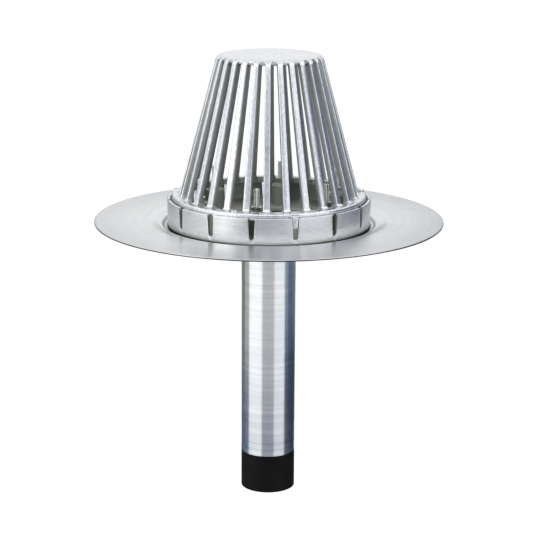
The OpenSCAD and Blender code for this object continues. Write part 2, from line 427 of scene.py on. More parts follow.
def ring_noise(tree, radius, height, way, spacing, wander, detail=2.0):
    """Noise in rings round the axis, spacing millimetres apart, that changes slowly along each
    ring."""
    swing = add(tree, "ShaderNodeVectorMath", {0: way, "Scale": wander}, operation="SCALE")
    across = add(tree, "ShaderNodeMath", {0: radius, 1: 1 / spacing}, operation="MULTIPLY")
    up = add(tree, "ShaderNodeMath", {0: height, 1: 1 / spacing}, operation="MULTIPLY")
    lift = add(tree, "ShaderNodeCombineXYZ", {"Z": across})
    at = add(tree, "ShaderNodeVectorMath", {0: swing, 1: lift}, operation="ADD")
    return add(tree, "ShaderNodeTexNoise", {
        "Vector": at, "W": up, "Scale": 1.0, "Detail": detail, "Roughness": 0.6},
        noise_dimensions="4D")


def spun_aluminium():
    """Aluminium sheet spun on a former: satin, with rings left by the roller, soft wider bands and
    a few grey scribed lines. The flange is painted darker towards its rim as shade. The narrow gap
    round the clamping ring is painted near black as shade, and the rise of the sump outside it a
    little darker as shade. The sheet's cut edge is dull, and its lower face is painted near black
    as the shade under the rim. The roller's rings are drawn a few times coarser than they are, to
    show."""
    mat, tree = new_material("spun_aluminium")
    radius, height, way = turned_coordinates(tree)
    ring, rim, sump = RING_R / MM, FLANGE_R / MM, FLOOR_Z / MM
    cloud_size = 45.45 * MM

    # Tone
    bands = ring_noise(tree, radius, height, way, spacing=7.0, wander=0.12)
    rings = ring_noise(tree, radius, height, way, spacing=1.6, wander=0.3, detail=3.0)
    scribes = ring_noise(tree, radius, height, way, spacing=2.2, wander=0.06, detail=1.0)
    place = add(tree, "ShaderNodeTexCoord").outputs["Object"]
    clouds = add(tree, "ShaderNodeTexNoise", {
        "Vector": place, "Scale": 1 / cloud_size, "Detail": 2.0})
    both = add(tree, "ShaderNodeMath", {0: clouds, 1: 0.5, 2: bands}, operation="MULTIPLY_ADD")
    clean = tone_between(tree, both, "d6d8da", "e6e7e8", 0.6, 0.9)

    # Scribed lines, and painted shade that darkens the flange towards its rim
    lines = add(tree, "ShaderNodeMapRange", {0: scribes, 1: 0.62, 2: 0.7})
    rim_shade = add(tree, "ShaderNodeMapRange", {0: radius, 1: ring + 25, 2: rim, 4: 0.3})
    marks = add(tree, "ShaderNodeMath", {0: lines, 1: 0.35, 2: rim_shade}, operation="MULTIPLY_ADD")
    clean = add(tree, "ShaderNodeMix", {0: marks, 6: clean, 7: linear("b4b7ba")}, data_type="RGBA")

    # Painted shade in the sump outside the ring, and on the cut edge's lower face, which is also
    # dull
    # Painted shade: near black in the narrow gap round the ring's foot, fainter on the sump's rise
    # outside it
    crevice = add(tree, "ShaderNodeMapRange", {
        0: radius, 1: ring + 0.4, 2: ring + 1.8, 3: 1.0, 4: 0.0})
    lip = add(tree, "ShaderNodeMapRange", {0: radius, 1: ring + 6, 2: ring + 9, 3: 0.3, 4: 0.0})
    hollow = add(tree, "ShaderNodeMath", {0: crevice, 1: lip}, operation="MAXIMUM")
    for value, start, end in ((radius, ring - 12, ring - 8), (height, sump - 0.6, sump - 0.4)):
        inside = add(tree, "ShaderNodeMapRange", {0: value, 1: start, 2: end})
        hollow = add(tree, "ShaderNodeMath", {0: hollow, 1: inside}, operation="MULTIPLY")
    # Painted shade on the lower face of the cut edge, under the flange's rim; the edge is also dull
    edge = add(tree, "ShaderNodeMapRange", {0: radius, 1: rim - 0.6, 2: rim - 0.3, 4: 0.95})
    under = add(tree, "ShaderNodeMapRange", {0: height, 1: 1.3, 2: 1.7, 3: 1.0, 4: 0.0})
    cut = add(tree, "ShaderNodeMath", {0: edge, 1: under}, operation="MULTIPLY")
    painted_shade = add(tree, "ShaderNodeMath", {0: hollow, 1: cut}, operation="MAXIMUM")
    colour = add(tree, "ShaderNodeMix", {0: painted_shade, 6: clean, 7: linear(SHADE_TONE)}, data_type="RGBA")

    # Shine, tighter on the stem than on the flange
    satin = add(tree, "ShaderNodeMapRange", {0: height, 1: -60, 2: -20, 3: 0.15, 4: 0.22})
    rough = add(tree, "ShaderNodeMath", {0: both, 1: 0.1, 2: satin}, operation="MULTIPLY_ADD")
    bump = add(tree, "ShaderNodeBump", {"Height": rings, "Strength": 0.25, "Distance": 0.03 * MM})
    tangent = add(tree, "ShaderNodeTangent", direction_type="RADIAL", axis="Z")
    shader = add(tree, "ShaderNodeBsdfPrincipled", {
        "Base Color": colour, "Metallic": 1.0, "Roughness": rough, "Normal": bump,
        "Anisotropic": 0.7, "Anisotropic Rotation": 0.25, "Tangent": tangent})
    add(tree, "ShaderNodeOutputMaterial", {"Surface": shader})
    return mat


def depth_below(tree, across, down, corner):
    """Depth in millimetres under a surface with a round corner, from the depths under its two
    sides."""
    depths = add(tree, "ShaderNodeCombineXYZ", {"X": across, "Y": down})
    room = add(tree, "ShaderNodeVectorMath", {0: (corner, corner, 0), 1: depths},
               operation="SUBTRACT")
    left = add(tree, "ShaderNodeVectorMath", {0: room, 1: (0, 0, 0)}, operation="MAXIMUM")
    length = add(tree, "ShaderNodeVectorMath", {0: left}, operation="LENGTH")
    return add(tree, "ShaderNodeMath", {0: corner, 1: length}, operation="SUBTRACT")


def dome_depth(tree, radius, height):
    """Depth in millimetres under the outer faces of the ribs and the crown, which sets how dark the
    painted shade between the ribs is. It counts more in the notches between the shoulders, which
    are painted darkest."""
    notch_z = CROWN_LOW / MM
    slope = add(tree, "ShaderNodeMath", {0: height, 1: -LEAN, 2: (CROWN_R + LEAN * CROWN_Z) / MM},
                operation="MULTIPLY_ADD")
    across = add(tree, "ShaderNodeMath", {0: slope, 1: radius}, operation="SUBTRACT")
    across = add(tree, "ShaderNodeMath", {0: across, 1: math.cos(LEAN_ANGLE)}, operation="MULTIPLY")
    shoulder_mm = (CROWN_Z - CROWN_PROUD) / MM
    down = add(tree, "ShaderNodeMath", {0: shoulder_mm, 1: height}, operation="SUBTRACT")
    depth = depth_below(tree, across, down, SHOULDER_R / MM)
    # The painted shade counts up to four times deeper under the crown's edge, in the notches
    notch_shade = add(tree, "ShaderNodeMapRange", {0: height, 1: notch_z - 3, 2: notch_z, 3: 1.0, 4: 4.0})
    return add(tree, "ShaderNodeMath", {0: depth, 1: notch_shade}, operation="MULTIPLY")


def ring_depth(tree, radius, height):
    """Depth in millimetres under the ring's outer wall and its top, which sets how dark the ring's
    painted shade is. The base counts as shallow, so it stays light. The wall's foot counts as the
    deepest, for the painted shade where it stands in the flange's sump."""
    floor_mm, base_mm = FLOOR_Z / MM, BASE_Z / MM
    wall_mm, corner = (RING_R - RING_DRAFT / 2) / MM, 3.0
    across = add(tree, "ShaderNodeMath", {0: wall_mm, 1: radius}, operation="SUBTRACT")
    down = add(tree, "ShaderNodeMath", {0: WALL_Z / MM, 1: height}, operation="SUBTRACT")
    wall = depth_below(tree, across, down, corner)
    # The base is kept shallow, so the painted shade leaves it light
    shallow_base = add(tree, "ShaderNodeMapRange", {
        0: height, 1: base_mm + 0.4, 2: base_mm + 2.5, 3: 1.5, 4: 60.0})
    wall = add(tree, "ShaderNodeMath", {0: wall, 1: shallow_base}, operation="MINIMUM")
    # Near black painted shade on the wall's foot, where it stands in the sump
    foot = add(tree, "ShaderNodeMapRange", {
        0: height, 1: floor_mm + 2, 2: floor_mm + 4, 3: SHADE_DEPTH + 30, 4: 0.6})
    return add(tree, "ShaderNodeMath", {0: wall, 1: foot}, operation="MAXIMUM")


def cast_aluminium(name, depth, dark, light, dull, deep, rough_low, rough_high, clean, fall,
                   stretch):
    """Sand cast aluminium: outer faces brushed clean, with a fine grain and slow changes of tone.
    Recesses keep their dull casting skin from clean millimetres down, its tone partly the skin's
    own and partly painted shade. Below that the recesses are painted darker as shade, growing to
    the deep tone over the next fall millimetres and to a near black shade tone far down. The grain
    is drawn out along the axes where stretch is low, and a few times coarser than sand leaves it,
    to show."""
    mat, tree = new_material(name)
    place = add(tree, "ShaderNodeTexCoord").outputs["Object"]
    place = add(tree, "ShaderNodeVectorMath", {0: place, 1: stretch}, operation="MULTIPLY")
    cloud_size, pit_size, grain_size, fine_size = 16.67 * MM, 2.381 * MM, 2.222 * MM, 0.909 * MM
    clouds = add(tree, "ShaderNodeTexNoise", {
        "Vector": place, "Scale": 1 / cloud_size, "Detail": 4.0})
    pits = add(tree, "ShaderNodeTexVoronoi", {"Vector": place, "Scale": 1 / pit_size})
    grain = add(tree, "ShaderNodeTexNoise", {
        "Vector": place, "Scale": 1 / grain_size, "Detail": 4.0})
    fine = add(tree, "ShaderNodeTexNoise", {"Vector": place, "Scale": 1 / fine_size, "Detail": 2.0})

    # Tone, from the brushed faces down into the recesses, where it is painted darker as shade
    mottle = add(tree, "ShaderNodeMath", {0: clouds, 1: 0.4, 2: grain}, operation="MULTIPLY_ADD")
    colour = tone_between(tree, mottle, dark, light, 0.55, 0.85)
    radius, height, _ = turned_coordinates(tree)
    below = depth(tree, radius, height)
    skin = add(tree, "ShaderNodeMapRange", {0: below, 1: clean, 2: clean + 0.9})
    recess_shade = add(tree, "ShaderNodeMapRange", {0: below, 1: clean + 1, 2: clean + fall})
    deepest_shade = add(tree, "ShaderNodeMapRange", {0: below, 1: SHADE_DEPTH, 2: SHADE_DEPTH + 20})
    # The dull skin is partly the casting's own and partly painted shade; the deep tone and the near
    # black tone are painted shade
    for share, tone in ((skin, dull), (recess_shade, deep), (deepest_shade, SHADE_TONE)):
        colour = add(tree, "ShaderNodeMix", {0: share, 6: colour, 7: linear(tone)},
                     data_type="RGBA")

    # Shine and relief
    rough = add(tree, "ShaderNodeMapRange", {
        0: clouds, 1: 0.3, 2: 0.7, 3: rough_low, 4: rough_high})
    rough = add(tree, "ShaderNodeMath", {0: skin, 1: 0.35, 2: rough}, operation="MULTIPLY_ADD")
    relief = add(tree, "ShaderNodeMath", {0: pits, 1: 0.4, 2: fine}, operation="MULTIPLY_ADD")
    bump = add(tree, "ShaderNodeBump", {"Height": relief, "Strength": 0.25, "Distance": 0.05 * MM})
    shader = add(tree, "ShaderNodeBsdfPrincipled", {
        "Base Color": colour, "Metallic": 1.0, "Roughness": rough, "Normal": bump})
    add(tree, "ShaderNodeOutputMaterial", {"Surface": shader})
    return mat


def stainless_steel():
    """Plain stainless steel, turned and rolled: warmer than the aluminium, with a tighter shine.
    Its tool marks are drawn coarse enough to show."""
    mat, tree = new_material("stainless_steel")
    place = add(tree, "ShaderNodeTexCoord").outputs["Object"]
    mark_size = 1.4286 * MM
    marks = add(tree, "ShaderNodeTexNoise", {
        "Vector": place, "Scale": 1 / mark_size, "Detail": 2.0})
    colour = tone_between(tree, marks, "e2e2dc", "f0f0ec")
    rough = add(tree, "ShaderNodeMapRange", {0: marks, 1: 0.3, 2: 0.7, 3: 0.15, 4: 0.26})
    bump = add(tree, "ShaderNodeBump", {"Height": marks, "Strength": 0.2, "Distance": 0.05 * MM})
    shader = add(tree, "ShaderNodeBsdfPrincipled", {
        "Base Color": colour, "Metallic": 1.0, "Roughness": rough, "Normal": bump})
    add(tree, "ShaderNodeOutputMaterial", {"Surface": shader})
    return mat


def black_rubber():
    """Moulded black rubber: near black and matt, with a faint bloom that greys it. The mould's
    grain is drawn coarse enough to show."""
    mat, tree = new_material("black_rubber")
    place = add(tree, "ShaderNodeTexCoord").outputs["Object"]
    bloom_size, skin_size = 22.22 * MM, 0.6667 * MM
    bloom = add(tree, "ShaderNodeTexNoise", {
        "Vector": place, "Scale": 1 / bloom_size, "Detail": 4.0})
    skin = add(tree, "ShaderNodeTexNoise", {"Vector": place, "Scale": 1 / skin_size, "Detail": 2.0})
    colour = tone_between(tree, bloom, "0d0d0e", "131314")
    rough = add(tree, "ShaderNodeMapRange", {0: bloom, 1: 0.3, 2: 0.7, 3: 0.42, 4: 0.55})
    bump = add(tree, "ShaderNodeBump", {"Height": skin, "Strength": 0.3, "Distance": 0.1 * MM})
    shader = add(tree, "ShaderNodeBsdfPrincipled", {
        "Base Color": colour, "Metallic": 0.0, "Roughness": rough, "Normal": bump,
        "IOR": 1.52, "Specular IOR Level": 0.08})
    add(tree, "ShaderNodeOutputMaterial", {"Surface": shader})
    return mat


SPUN = spun_aluminium()
# The deep tones are painted shade: near black between the ribs and in the crown's notches, grey
# inside the ring. The ring's dull tone is partly painted shade too.
CAST_DOME = cast_aluminium(
    "cast_aluminium_dome", dome_depth, dark="d2d5da", light="e9ebee", dull="cfd2d0", deep="1c1e1c",
    rough_low=0.2, rough_high=0.28, clean=0.7, fall=22.0, stretch=(1.0, 1.0, 0.35))
CAST_RING = cast_aluminium(
    "cast_aluminium_ring", ring_depth, dark="d0d2d3", light="dfe0e1", dull="b6b8b0", deep="989a90",
    rough_low=0.24, rough_high=0.32, clean=0.6, fall=5.0, stretch=(0.3, 0.3, 1.5))
STEEL = stainless_steel()
RUBBER = black_rubber()


# ---- Spun body and seal ----------------------------------------------------

def sheet_face(side, edge):
    """One face of the spun sheet, from the flange's edge to the end of the bell mouth. side is 1
    for the wet face and -1 for the dry one. The flange rolls slowly down to the step, which is an S
    of two arcs, and the sump's floor turns down into the bell mouth."""
    mid = SHEET / 2
    h = side * SHEET / 2
    drop = SHEET - FLOOR_Z
    angle = math.degrees(STEP_ANGLE)
    step_r = (drop - ROLL_DROP) / (2 * (1 - math.cos(STEP_ANGLE)))
    step_run = 2 * step_r * math.sin(STEP_ANGLE)
    step_out = RING_R + RING_GAP + step_run
    step_z = mid - ROLL_DROP - step_r
    bell_r = BELL_MOUTH_R - (STEM_R - SHEET / 2)

    rim = arc((FLANGE_R - edge, mid + h - side * edge), edge, 0, 90 * side, 5)
    roll = []
    steps = 12
    for i in range(steps):
        part = i / steps
        sunk = part ** 2 * (1.6 - 0.6 * part ** 2)
        roll.append((step_out + ROLL * (1 - part), mid + h - ROLL_DROP * sunk))
    upper = arc((step_out, step_z), step_r + h, 90, 90 + angle, 14)
    lower_centre = (step_out - step_run, step_z + 2 * step_r * math.cos(STEP_ANGLE))
    lower = arc(lower_centre, step_r - h, angle - 90, -90, 14)
    bell = arc((BELL_MOUTH_R, mid - drop - bell_r), bell_r + h, 90, 180, 40)
    return rim + roll + upper + lower + bell


def spin_waves(z):
    """Depth of the shallow waves along the stem, at a height."""
    slow = noise.noise(Vector((0.3, 0.7, z / WAVE_LENGTH)))
    quick = noise.noise(Vector((4.1, 2.3, z / RIPPLE_LENGTH)))
    return (WAVE_DEPTH * (1 + slow) + RIPPLE_DEPTH * (1 + quick)) / 2


def build_spun_body():
    wet = sheet_face(1, RIM_ROUND_WET)
    dry = sheet_face(-1, RIM_ROUND_DRY)
    bell_end = dry[-1][1]
    rows = 150
    fade_rows = 4
    stem = []
    for i in range(1, rows):
        z = NECK_Z + (bell_end - NECK_Z) * (1 - i / rows)
        fade = min(1, i / fade_rows, (rows - i) / fade_rows)
        stem.append((STEM_R - fade * spin_waves(z), z))

    # The neck is swaged in at 45 degrees, and the sheet keeps its thickness round the bend.
    neck_r = STEM_R - SEAL_T
    inner_r = neck_r - SHEET
    bend = math.tan(math.radians(45) / 2) * SHEET
    wet += [(STEM_R - SHEET, NECK_Z + bend), (inner_r, NECK_Z + bend - SEAL_T), (inner_r, NECK_END)]
    outside = dry + stem + [(STEM_R, NECK_Z), (neck_r, NECK_Z - SEAL_T), (neck_r, NECK_END)]
    body = lathe("spun_body", held(wet + outside[::-1]), 256, 30)
    body.data.materials.append(SPUN)
    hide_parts("drain_body")


def build_seal():
    """The seal's bore follows the neck, with a small groove at the top where it meets the stem."""
    groove = 0.8 * MM
    soft = SEAL_ROUND
    neck_r = STEM_R - SEAL_T
    bore = neck_r - SHEET
    profile = arc((STEM_R - soft / 2, SEAL_TOP - soft / 2), soft / 2, 90, 0, 4)
    profile += arc((STEM_R - soft, SEAL_LOW + soft), soft, 0, -90, 6)
    profile += arc((bore + soft, SEAL_LOW + soft), soft, -90, -180, 6)
    profile += [(bore, NECK_END), (neck_r, NECK_END), (neck_r, NECK_Z - SEAL_T),
                (STEM_R - groove, SEAL_TOP)]
    seal = lathe("pipe_seal_rubber", held(profile), 160, 30)
    seal.data.materials.append(RUBBER)
    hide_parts("pipe_seal")


# ---- Clamping ring ---------------------------------------------------------

SLOT_LOW_Z = BASE_Z + SLOT_SILL + SLOT_LOW / 2
SLOT_HIGH_Z = WALL_Z + 2 * MM


def slot_half(z):
    """Half of a slot's width at a height, above its round bottom."""
    share = (z - SLOT_LOW_Z) / (SLOT_HIGH_Z - SLOT_LOW_Z)
    return (SLOT_LOW + (SLOT_TOP - SLOT_LOW) * share) / 2


def slot_outline(grow):
    """A slot's outline as (across, height): round at the bottom, widening upwards, with a flare at
    the top."""
    flare_z = WALL_Z - SLOT_FLARE
    side = []
    for i in range(7):
        z = SLOT_LOW_Z + (flare_z - SLOT_LOW_Z) * i / 6
        side.append((slot_half(z) + grow, z))
    w = side[-1][0]
    for degrees in (30, 60, 85):
        a = math.radians(degrees)
        side.append((w + SLOT_FLARE * (1 - math.cos(a)), flare_z + SLOT_FLARE * math.sin(a)))
    side.append((side[-1][0], SLOT_HIGH_Z))
    bottom = arc((0, SLOT_LOW_Z), SLOT_LOW / 2 + grow, 180, 360, 12)
    return bottom[1:-1] + side + [(-x, z) for x, z in reversed(side)]


def wall_face(z):
    """Radius of the ring's outer face, which has a slight draft."""
    return RING_R - RING_DRAFT * (WALL_Z - z) / (WALL_Z - FLOOR_Z)


def slot_cutter():
    """Cuts a slot whose edges are rounded where it leaves the wall's two faces."""
    soft = SLOT_ROUND
    turn = []
    for degrees in range(0, 91, 15):
        a = math.radians(degrees)
        turn.append((soft - soft * math.cos(a), soft - soft * math.sin(a)))
    past = [(-1.5 * MM, soft)]
    sections = []
    for deep, grow in past + turn:
        sections.append([Vector((WALL_IR + deep, y, z)) for y, z in slot_outline(grow)])
    for deep, grow in turn[::-1] + past:
        sections.append([Vector((wall_face(z) - deep, y, z)) for y, z in slot_outline(grow)])
    return loft("slot_cutter", sections)


def ring_profile():
    """The ring's wall and base, with a relief under the base between its two lands."""
    edge = 1 * MM
    fillet = RING_FILLET
    foot = RING_R - RING_DRAFT
    relief_z = FLOOR_Z + RELIEF
    profile = arc((foot - edge, FLOOR_Z + edge), edge, -90, 0, 4)
    profile += arc((RING_R - edge, WALL_Z - edge), edge, 0, 90, 5)
    profile += arc((WALL_IR + edge, WALL_Z - edge), edge, 90, 180, 5)
    profile += arc((WALL_IR - fillet, BASE_Z + fillet), fillet, 0, -90, 8)
    profile += arc((THROAT_R + fillet, BASE_Z - fillet), fillet, 90, 180, 8)
    profile += [(THROAT_R, FLOOR_Z), (THROAT_R + LAND_IN, FLOOR_Z), (THROAT_R + LAND_IN, relief_z)]
    profile += [(foot - LAND_OUT, relief_z), (foot - LAND_OUT, FLOOR_Z)]
    return profile


def stud_boss():
    soft = 1.2 * MM
    low_z = FLOOR_Z + 1 * MM
    profile = [(0, low_z), (BOSS_R, low_z)]
    profile += arc((BOSS_R - soft, BOSS_Z - soft), soft, 0, 90, 5) + [(0, BOSS_Z)]
    return moved_out(lathe("boss", held(profile), 64), BOLT_R)


def screw_post():
    """A post for a dome screw, with a web that joins it to the wall."""
    wall_mid = WALL_IR + RING_WALL / 2
    web = [(SCREW_PLACE_R, -POST_R), (wall_mid, -POST_R), (wall_mid, POST_R),
           (SCREW_PLACE_R, POST_R)]
    web += arc((SCREW_PLACE_R, 0), POST_R, 90, 270, 20)[1:-1]
    return loft("post", [[Vector((x, y, z)) for x, y in web] for z in (BASE_Z - 1 * MM, RIM_LOW)])


def stud_bore():
    """Clears a stud, and the weld collar at its foot."""
    clear = 0.8 * MM
    past = 2 * MM
    sink_z = FLOOR_Z + COLLAR_H + clear
    profile = [(0, FLOOR_Z - past), (COLLAR_R + clear, FLOOR_Z - past), (COLLAR_R + clear, sink_z)]
    profile += [(STUD_R + clear, sink_z), (STUD_R + clear, BOSS_Z + past), (0, BOSS_Z + past)]
    return moved_out(lathe("bore", profile, 48), BOLT_R)


def screw_tap():
    hole_r = SCREW_R + 0.05 * MM
    low_z, high_z = RIM_LOW - 14 * MM, RIM_LOW + 1 * MM
    profile = [(0, low_z), (hole_r, low_z), (hole_r, high_z), (0, high_z)]
    return moved_out(lathe("tap", profile, 32), SCREW_PLACE_R)


def build_ring():
    ring = lathe("clamping_ring_casting", held(ring_profile()), 360, 30)
    boolean(ring, ring_of(stud_boss(), STUDS, STUD_AT), "UNION")
    boolean(ring, ring_of(screw_post(), SCREWS, SCREW_AT), "UNION")
    boolean(ring, ring_of(slot_cutter(), SLOTS, SLOT_AT), "DIFFERENCE")
    boolean(ring, ring_of(stud_bore(), STUDS, STUD_AT), "DIFFERENCE")
    boolean(ring, ring_of(screw_tap(), SCREWS, SCREW_AT), "DIFFERENCE")
    dress(ring, CAST_RING, 28)
    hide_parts("clamping_ring")


# ---- Dome strainer ---------------------------------------------------------

def cone_r(z):
    """Radius of the ribs' outer faces at a height."""
    return CROWN_R + LEAN * (CROWN_Z - z)


def shoulder_centre():
    """Centre (r, z) of the arc that rounds a rib's shoulder, which ends just under the crown."""
    z = CROWN_Z - CROWN_PROUD - SHOULDER_R
    return cone_r(z) - SHOULDER_R / math.cos(LEAN_ANGLE), z


def rib_width(z):
    start_z = RIM_Z - RIM_H / 2
    return RIB_FOOT_W + (RIB_TOP_W - RIB_FOOT_W) * (z - start_z) / (CROWN_Z - start_z)


def fillet_flare(radius, share):
    """How far a quarter round fillet stands out at a share of its height, none at 0 and its radius
    at 1."""
    share = min(1, max(0, share))
    return radius * (1 - math.sqrt(1 - share ** 2))


def rib_stations():
    """The rib from its foot to its end in the crown, as outer point, inner point and widths at
    both. It flares into the rim at its foot, and into an arch over the opening beside it at its
    top."""
    centre = shoulder_centre()
    out = []

    # Foot, with its fillet
    foot_out = 3 * MM
    foot_z = [RIB_SOLE, RIM_Z - 0.3 * MM]
    foot_z += [RIM_Z + RIB_FILLET * (1 - math.cos(math.radians(a))) for a in range(10, 91, 10)]
    for z in foot_z:
        flare = fillet_flare(RIB_FILLET, 1 - (z - RIM_Z) / RIB_FILLET)
        wide = rib_width(z) + 1.5 * flare
        out.append(((cone_r(z) + min(flare, foot_out), z), (cone_r(z) - RIB_DEPTH, z), wide, wide))

    # Straight
    straight = 14
    z0 = RIM_Z + RIB_FILLET
    for i in range(1, straight):
        z = z0 + (centre[1] - z0) * i / straight
        out.append(((cone_r(z), z), (cone_r(z) - RIB_DEPTH, z), rib_width(z), rib_width(z)))

    # Shoulder, arch and gusset
    gusset_z = CROWN_LOW - GUSSET
    gusset_in, gusset_up = 4 * MM, 3.5 * MM
    arch_clear, root_clear = 0.04 * MM, 0.3 * MM
    steps = 20
    for step in range(steps + 1):
        share = step / steps
        angle = LEAN_ANGLE + (math.pi / 2 - LEAN_ANGLE) * share
        outer = (centre[0] + SHOULDER_R * math.cos(angle), centre[1] + SHOULDER_R * math.sin(angle))
        inner = (cone_r(gusset_z) - RIB_DEPTH - gusset_in * share, gusset_z + gusset_up * share)
        half_gap = math.pi * outer[0] / RIBS - rib_width(outer[1]) / 2 - arch_clear
        flare = fillet_flare(half_gap, (outer[1] - (ARCH_Z - half_gap)) / half_gap)
        wide = rib_width(outer[1]) + 2 * flare
        out.append((outer, inner, wide, min(wide, TAU * inner[0] / RIBS - root_clear)))
    return out


def rib():
    """One rib, with its edges rounded as a casting's are."""
    sections = []
    for outer, inner, wide, narrow in rib_stations():
        o, i = Vector((outer[0], 0, outer[1])), Vector((inner[0], 0, inner[1]))
        middle, along = (o + i) / 2, (o - i)
        deep = along.length
        along.normalize()
        round_r = min(RIB_ROUND, deep / 2.5)
        section = []
        for w, d in rounded_box(wide / 2, deep / 2, round_r, 4):
            taper = (narrow + (wide - narrow) * (d / deep + 0.5)) / wide
            section.append(middle + along * d + Vector((0, w * taper, 0)))
        sections.append(section)
    return loft("rib", sections)


def tongue_outline(inset):
    """A tongue that fills the upper part of a slot, as (across, height), with soft lower
    corners."""
    grow = -LUG_GAP - inset
    low_z = TONGUE_LOW + inset
    soft = 1.5 * MM
    half = slot_half(low_z) + grow
    top_half = slot_half(WALL_Z) + grow
    top_z = RIM_Z - RIM_ROUND / 2 - 0.3 * MM
    right = arc((half - soft, low_z + soft), soft, 270, 360, 5)
    right += [(top_half, WALL_Z), (top_half, top_z)]
    return right + [(-x, z) for x, z in reversed(right)]


def lug():
    """A lug over the wall, and the tongue that hangs from it in a slot. Both have a soft outer
    end."""
    soft = 1 * MM
    over_z = WALL_Z + LUG_GAP
    top_z = RIM_Z - RIM_ROUND / 2
    root = RIM_R - 2 * MM
    tip = RING_R - 1 * MM
    cap_tip = tip - 1 * MM
    cap_ends = ((root, 0), (cap_tip - soft, 0), (cap_tip - soft / 3, soft / 3), (cap_tip, soft))
    tongue_ends = ((root, 0), (tip - soft, 0), (tip - soft / 3, soft / 4), (tip, soft * 0.8))
    sections = []
    for x, inset in cap_ends:
        half = (top_z - over_z) / 2 - inset
        outline = rounded_box(LUG_W / 2 - inset, half, min(0.8 * MM, half * 0.9), 3)
        sections.append([Vector((x, w, (top_z + over_z) / 2 + d)) for w, d in outline])
    cap = loft("lug", sections)
    tongue = loft("tongue", [[Vector((x, y, z)) for y, z in tongue_outline(inset)]
                             for x, inset in tongue_ends])
    return boolean(cap, tongue, "UNION")


def rim_profile():
    soft = 0.8 * MM
    edge = 1 * MM
    profile = arc((RIM_IR + soft, RIM_LOW + soft), soft, 180, 270, 4)
    profile += arc((RIM_R - edge, RIM_LOW + edge), edge, -90, 0, 4)
    profile += arc((RIM_R - RIM_ROUND, RIM_Z - RIM_ROUND), RIM_ROUND, 0, 90, 8)
    profile += arc((RIM_IR + soft, RIM_Z - soft), soft, 90, 180, 4)
    return profile


def crown():
    """The crown's plate. Its edge flows just under the ribs' shoulders, and its middle is slightly
    raised."""
    soft = 0.8 * MM
    disc_r = CROWN_R - CROWN_NOTCH
    turn_r, turn_z = shoulder_centre()
    flow_r = SHOULDER_R - 0.06 * MM
    end = math.degrees(math.acos((disc_r - turn_r) / flow_r))
    profile = [(0, CROWN_LOW)] + arc((disc_r - soft, CROWN_LOW + soft), soft, -90, 0, 4)
    profile += arc((turn_r, turn_z), flow_r, end, 88, 8)
    profile += [(turn_r - 4 * MM, CROWN_Z - 0.1 * MM), (turn_r - 8 * MM, CROWN_Z), (0, CROWN_Z)]
    return lathe("crown", held(profile), 240)


def screw_hole():
    """Clears a dome screw's shank and cuts the seat for its head."""
    low_z, high_z = RIM_LOW - 1 * MM, SEAT_Z + 4 * MM
    hole_r, seat_r = SCREW_R + 0.3 * MM, HEAD_R + 0.6 * MM
    profile = [(0, low_z), (hole_r, low_z), (hole_r, SEAT_Z), (seat_r, SEAT_Z),
               (seat_r, high_z), (0, high_z)]
    return moved_out(lathe("screw_hole", profile, 48), SCREW_PLACE_R)


def build_dome():
    dome = lathe("strainer_dome_casting", held(rim_profile()), 360, 30)
    ribs = boolean(ring_of(rib(), RIBS, RIB_AT), crown(), "UNION")
    boolean(dome, ribs, "UNION")
    boolean(dome, ring_of(lug(), SCREWS, SLOT_AT), "UNION")
    boolean(dome, ring_of(screw_hole(), SCREWS, SCREW_AT), "DIFFERENCE")
    dress(dome, CAST_DOME, 28)
    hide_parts("strainer_dome")


# ---- Studs, washers, nuts and screws ---------------------------------------

def hardware(obj, kind, count, first, radius, smooth_below=30):
    """Sets a fastener of one kind at each of its places, in the place of its nodes."""
    ring_of(moved_out(obj, radius), count, first, STEEL)
    dress(obj, STEEL, smooth_below)
    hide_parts(*[f"{kind}_{i}" for i in range(1, count + 1)])


def threaded_rod(name, radius, z0, z1, pitch, segments=32):
    """A rod with a helical thread, chamfered at its top."""
    depth = 0.61 * pitch
    groove_half = 0.44
    per_turn = 8
    tip = 1.2 * MM
    chamfer = 0.8
    rows = int((z1 - z0) / pitch * per_turn)
    verts = []
    for i in range(rows + 1):
        z = z0 + (z1 - z0) * i / rows
        for s in range(segments):
            a = TAU * s / segments
            phase = ((z / pitch) - s / segments) % 1
            cut = depth * max(0, 1 - abs(phase - 0.5) / groove_half)
            crest = radius - max(0, z - (z1 - tip)) * chamfer
            r = min(radius - cut, crest)
            verts.append((r * math.cos(a), r * math.sin(a), z))
    return mesh_object(name, verts, tube_faces(rows + 1, segments), 40)


def build_studs():
    """Studs threaded above the ring's base, with a weld collar at the foot."""
    stud = threaded_rod("clamping_studs", STUD_R, BASE_Z, STUD_Z, THREAD_PITCH)
    plain_z = BASE_Z + 1 * MM
    collar = lathe("collar", [(0, FLOOR_Z), (COLLAR_R, FLOOR_Z), (STUD_R, FLOOR_Z + COLLAR_H),
                              (STUD_R, plain_z), (0, plain_z)], 48)
    boolean(stud, collar, "UNION")
    hardware(stud, "stud", STUDS, STUD_AT, BOLT_R, 40)


def build_washers():
    soft = 0.3 * MM
    bore = STUD_R + 0.4 * MM
    profile = [(bore, BOSS_Z)] + arc((WASHER_R - soft, BOSS_Z + soft), soft, -90, 0, 3)
    profile += arc((WASHER_R - soft, WASHER_Z - soft), soft, 0, 90, 3) + [(bore, WASHER_Z)]
    hardware(lathe("washers", held(profile, 0.15 * MM), 64), "washer", STUDS, STUD_AT, BOLT_R)


